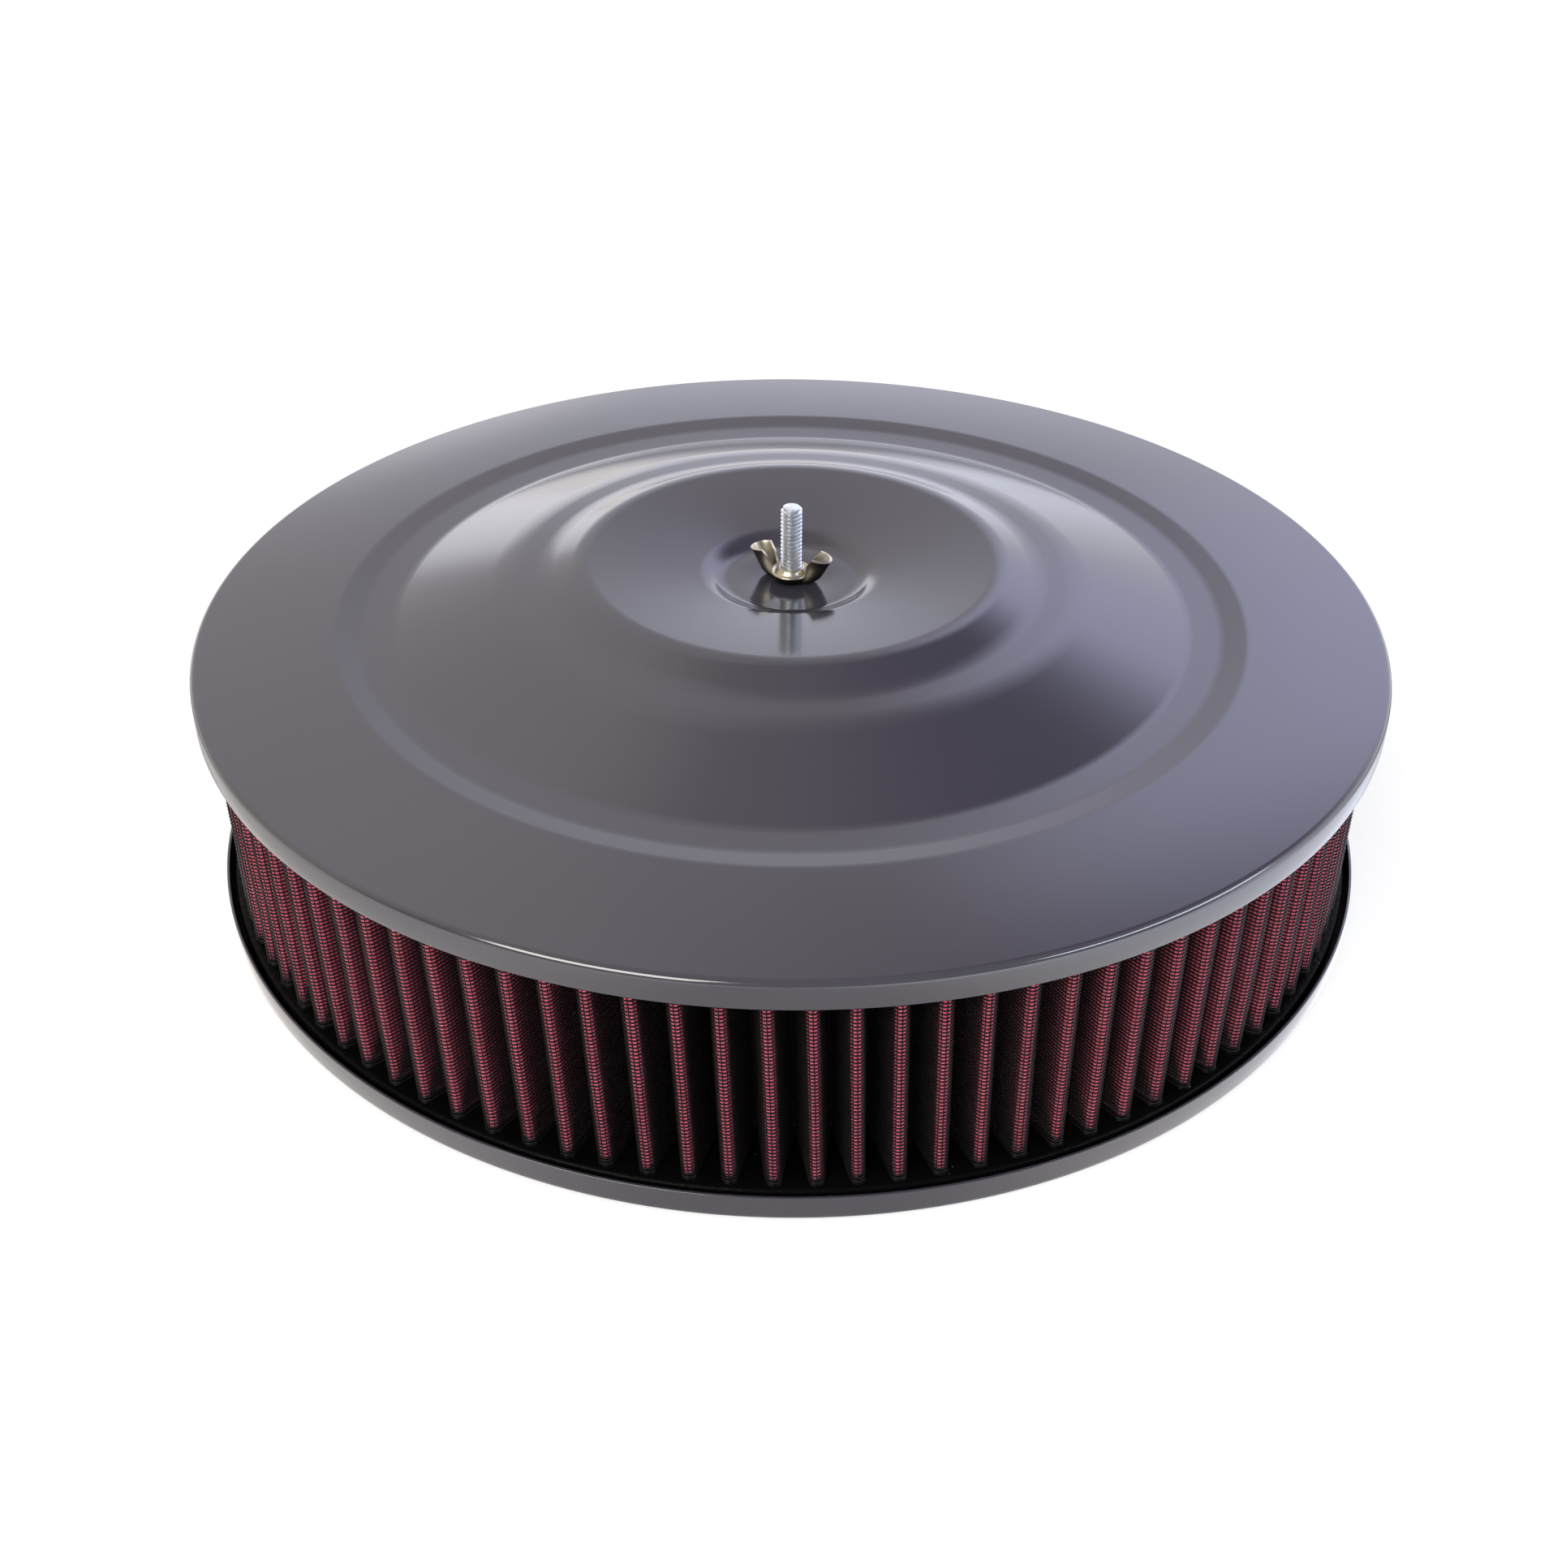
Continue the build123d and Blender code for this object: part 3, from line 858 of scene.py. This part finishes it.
# Studio: a plain pale floor that keeps the shadow and shows a painted glow in gloss, a pale
# surround that is brightest at the horizon, and soft lamps: a window at the front left, a long
# cool one at the right, and a warm fill low in front that isn't mirrored in the gloss.
FLOOR_HALF_WIDTH = 6
FLOOR_GREY = (0.42, 0.42, 0.42, 1)
FLOOR_GLOW = 0.60
FLOOR_DROP = 0.05 * MM
# Tints of the floor's painted glow in gloss: warm, and cooler at the right.
PAINTED_GLOW_WARM = (1, 0.94, 0.89)
PAINTED_GLOW_COOL = (0.92, 0.97, 1.15)
# Painted glow that only gloss sees on the floor: beside the base, close to it, at its right and
# behind it.
PAINTED_GLOW_BESIDE = 0.48
PAINTED_GLOW_NEAR_BESIDE = 0.95
PAINTED_GLOW_NEAR = 0.06
PAINTED_GLOW_RIGHT = 0.72
PAINTED_GLOW_BEHIND = 1.1
# Sine of the elevation and colour, from the horizon up.
SKY_RISE = [(0.0, (1.65, 1.63, 1.92)), (0.12, (1.50, 1.52, 1.75)), (0.28, (1.19, 1.22, 1.42)),
            (0.48, (0.82, 0.80, 0.94)), (0.72, (0.50, 0.45, 0.52)), (0.95, (0.21, 0.19, 0.27))]
# Azimuth, elevation and spread in degrees, and colour.
SKY_PATCHES = [(31, 32, 24, (1.45, 1.48, 2.08)), (50, 54, 29, (0.06, 0.05, 0.14)),
               (-100, 2, 109, (0.73, 0.66, 0.50)), (-37, 39, 32, (0.85, 0.79, 0.83)),
               (-16, 7, 12, (2.1, 2.05, 2.2))]
SKY_IN_FRONT = (0.16, 0.16, 0.18)
MATT_FILL = (0.85, 0.85, 0.87, 1)


def floor_white():
    """White to the camera but for the shadow; in gloss a painted glow, warm and cooler at the
    right.
    """
    material, tree, shader = new_material("floor_white")
    shader.inputs["Base Color"].default_value = FLOOR_GREY
    shader.inputs["Roughness"].default_value = 0.8
    shader.inputs["Specular IOR Level"].default_value = 0.0
    split, reach = object_place(tree)
    beside = faded(tree, computed(tree, "ABSOLUTE", split.outputs["X"]), 0.02, 0.16)
    right = faded(tree, split.outputs["X"], 0.04, 0.24)
    near = faded(tree, reach, 0.215, 0.185)
    front = faded(tree, split.outputs["Y"], 0.09, -0.03)
    behind = faded(tree, split.outputs["Y"], 0.12, 0.3)
    # Painted glow, seen only in gloss: brighter beside, close to, right of and behind the base.
    painted_glow = computed(tree, "MULTIPLY_ADD", near, PAINTED_GLOW_NEAR_BESIDE, PAINTED_GLOW_BESIDE)
    painted_glow = computed(tree, "MULTIPLY", painted_glow, beside)
    painted_glow = computed(tree, "MULTIPLY_ADD", near, PAINTED_GLOW_NEAR, painted_glow)
    painted_glow = computed(tree, "MULTIPLY_ADD", right, PAINTED_GLOW_RIGHT, painted_glow)
    painted_glow = computed(tree, "MULTIPLY", painted_glow, front)
    painted_glow = computed(tree, "MULTIPLY_ADD", behind, PAINTED_GLOW_BEHIND, painted_glow)
    path = tree.nodes.new("ShaderNodeLightPath")
    painted_glow = computed(tree, "MULTIPLY", painted_glow, path.outputs["Is Glossy Ray"])
    glow = computed(tree, "MULTIPLY_ADD", path.outputs["Is Camera Ray"], FLOOR_GLOW, painted_glow)
    link(tree, glow, shader.inputs["Emission Strength"])
    tint = mixed_colour(tree, right, PAINTED_GLOW_WARM, PAINTED_GLOW_COOL)
    tint = mixed_colour(tree, path.outputs["Is Camera Ray"], tint, (1, 1, 1))
    link(tree, tint, shader.inputs["Emission Color"])
    return material


def floor_board():
    """The floor, just clear of the base's rim."""
    mesh = bmesh.new()
    bmesh.ops.create_grid(mesh, x_segments=1, y_segments=1, size=FLOOR_HALF_WIDTH)
    bmesh.ops.translate(mesh, verts=mesh.verts[:], vec=(0, 0, -FLOOR_DROP))
    data = bpy.data.meshes.new("floor")
    mesh.to_mesh(data)
    mesh.free()
    board = bpy.data.objects.new("floor", data)
    bpy.context.scene.collection.objects.link(board)
    data.materials.append(floor_white())


def seen_directly(tree, path):
    """1 for what the camera sees directly, in gloss or through glass, and 0 for matt light."""
    seen = path.outputs["Is Camera Ray"]
    for ray in ("Is Glossy Ray", "Is Transmission Ray"):
        seen = computed(tree, "MAXIMUM", seen, path.outputs[ray])
    return seen


def sky_patch(tree, direction, sky, azimuth, elevation, spread, colour):
    """Mixes colour into the sky round one direction; azimuth runs from +Y towards +X."""
    turn, tilt = math.radians(azimuth), math.radians(elevation)
    nearness = tree.nodes.new("ShaderNodeVectorMath")
    nearness.operation = "DOT_PRODUCT"
    link(tree, direction, nearness.inputs[0])
    nearness.inputs[1].default_value = (math.sin(turn) * math.cos(tilt),
                                        math.cos(turn) * math.cos(tilt), math.sin(tilt))
    share = faded(tree, nearness.outputs["Value"], math.cos(math.radians(spread)), 1.0)
    return mixed_colour(tree, share, sky, colour)


def surround():
    """The world: plain soft fill on matt surfaces, and a pale surround in gloss and behind."""
    world = bpy.data.worlds.new("surround")
    bpy.context.scene.world = world
    world.use_nodes = True
    tree = world.node_tree
    tree.nodes.clear()
    place = tree.nodes.new("ShaderNodeTexCoord")
    split = tree.nodes.new("ShaderNodeSeparateXYZ")
    link(tree, place.outputs["Generated"], split.inputs[0])
    ramp = tree.nodes.new("ShaderNodeValToRGB")
    link(tree, split.outputs["Z"], ramp.inputs["Fac"])
    stops = ramp.color_ramp.elements
    for stop, (rise, colour) in zip(stops, (SKY_RISE[0], SKY_RISE[-1])):
        stop.position, stop.color = rise, (*colour, 1)
    for rise, colour in SKY_RISE[1:-1]:
        stops.new(rise).color = (*colour, 1)
    sky = ramp.outputs["Color"]
    for patch in SKY_PATCHES:
        sky = sky_patch(tree, place.outputs["Generated"], sky, *patch)
    front = faded(tree, split.outputs["Y"], 0.0, -0.4)
    sky = mixed_colour(tree, front, sky, SKY_IN_FRONT)
    path = tree.nodes.new("ShaderNodeLightPath")
    sky = mixed_colour(tree, path.outputs["Is Camera Ray"], sky, (1, 1, 1))
    seen = tree.nodes.new("ShaderNodeBackground")
    link(tree, sky, seen.inputs["Color"])
    fill = tree.nodes.new("ShaderNodeBackground")
    fill.inputs["Color"].default_value = MATT_FILL
    blend = tree.nodes.new("ShaderNodeMixShader")
    link(tree, seen_directly(tree, path), blend.inputs["Fac"])
    link(tree, fill.outputs[0], blend.inputs[1])
    link(tree, seen.outputs[0], blend.inputs[2])
    output = tree.nodes.new("ShaderNodeOutputWorld")
    link(tree, blend.outputs[0], output.inputs["Surface"])


def soft_lamp(name, place, aim, size, radiance, tint):
    """A large flat lamp at place, turned to aim, as bright as radiance says."""
    light = bpy.data.lights.new(name, "AREA")
    light.shape = "RECTANGLE"
    light.size, light.size_y = size
    light.energy = radiance * math.pi * size[0] * size[1]
    light.color = tint
    lamp = bpy.data.objects.new(name, light)
    lamp.location = place
    lamp.rotation_euler = (Vector(aim) - Vector(place)).to_track_quat("-Z", "Y").to_euler()
    bpy.context.scene.collection.objects.link(lamp)
    return lamp


floor_board()
surround()
soft_lamp("front_window", place=(-1.3, -1.9, 1.7), aim=(0, 0, 0.05), size=(1.7, 1.1),
          radiance=8.0, tint=(1.0, 0.97, 0.90))
front_fill = soft_lamp("front_fill", place=(0, -2.6, 0.55), aim=(0, 0, 0.04), size=(2.6, 0.9),
                       radiance=5.4, tint=(1.0, 0.95, 0.90))
front_fill.visible_glossy = False
soft_lamp("right_window", place=(2.35, -0.95, 1.55), aim=(0, 0, 0.05), size=(2.2, 0.4),
          radiance=10.0, tint=(0.74, 0.85, 1.0))


# Camera: stands in front of the part and looks down on it, where both covers' rims take the
# same place in the frame as in the photograph.
CAMERA_PLACE = (0, -0.5178, 0.3655)
CAMERA_PITCH = math.radians(34.316)
CAMERA_YAW = math.radians(-0.23)
CAMERA_ROLL = math.radians(-0.323)
CAMERA_LENS = 44.43
CAMERA_SENSOR = 36

lens = bpy.data.cameras.new("camera")
lens.lens = CAMERA_LENS
lens.sensor_width = CAMERA_SENSOR
camera = bpy.data.objects.new("camera", lens)
bpy.context.scene.collection.objects.link(camera)
forward = Vector((math.sin(CAMERA_YAW) * math.cos(CAMERA_PITCH),
                  math.cos(CAMERA_YAW) * math.cos(CAMERA_PITCH), -math.sin(CAMERA_PITCH)))
level = Vector((math.cos(CAMERA_YAW), -math.sin(CAMERA_YAW), 0))
down = forward.cross(level)
image_right = level * math.cos(CAMERA_ROLL) + down * math.sin(CAMERA_ROLL)
image_down = down * math.cos(CAMERA_ROLL) - level * math.sin(CAMERA_ROLL)
turned = Matrix((image_right, -image_down, -forward)).transposed().to_4x4()
camera.matrix_world = Matrix.Translation(CAMERA_PLACE) @ turned
bpy.context.scene.camera = camera
bpy.context.scene.view_settings.view_transform = "Standard"
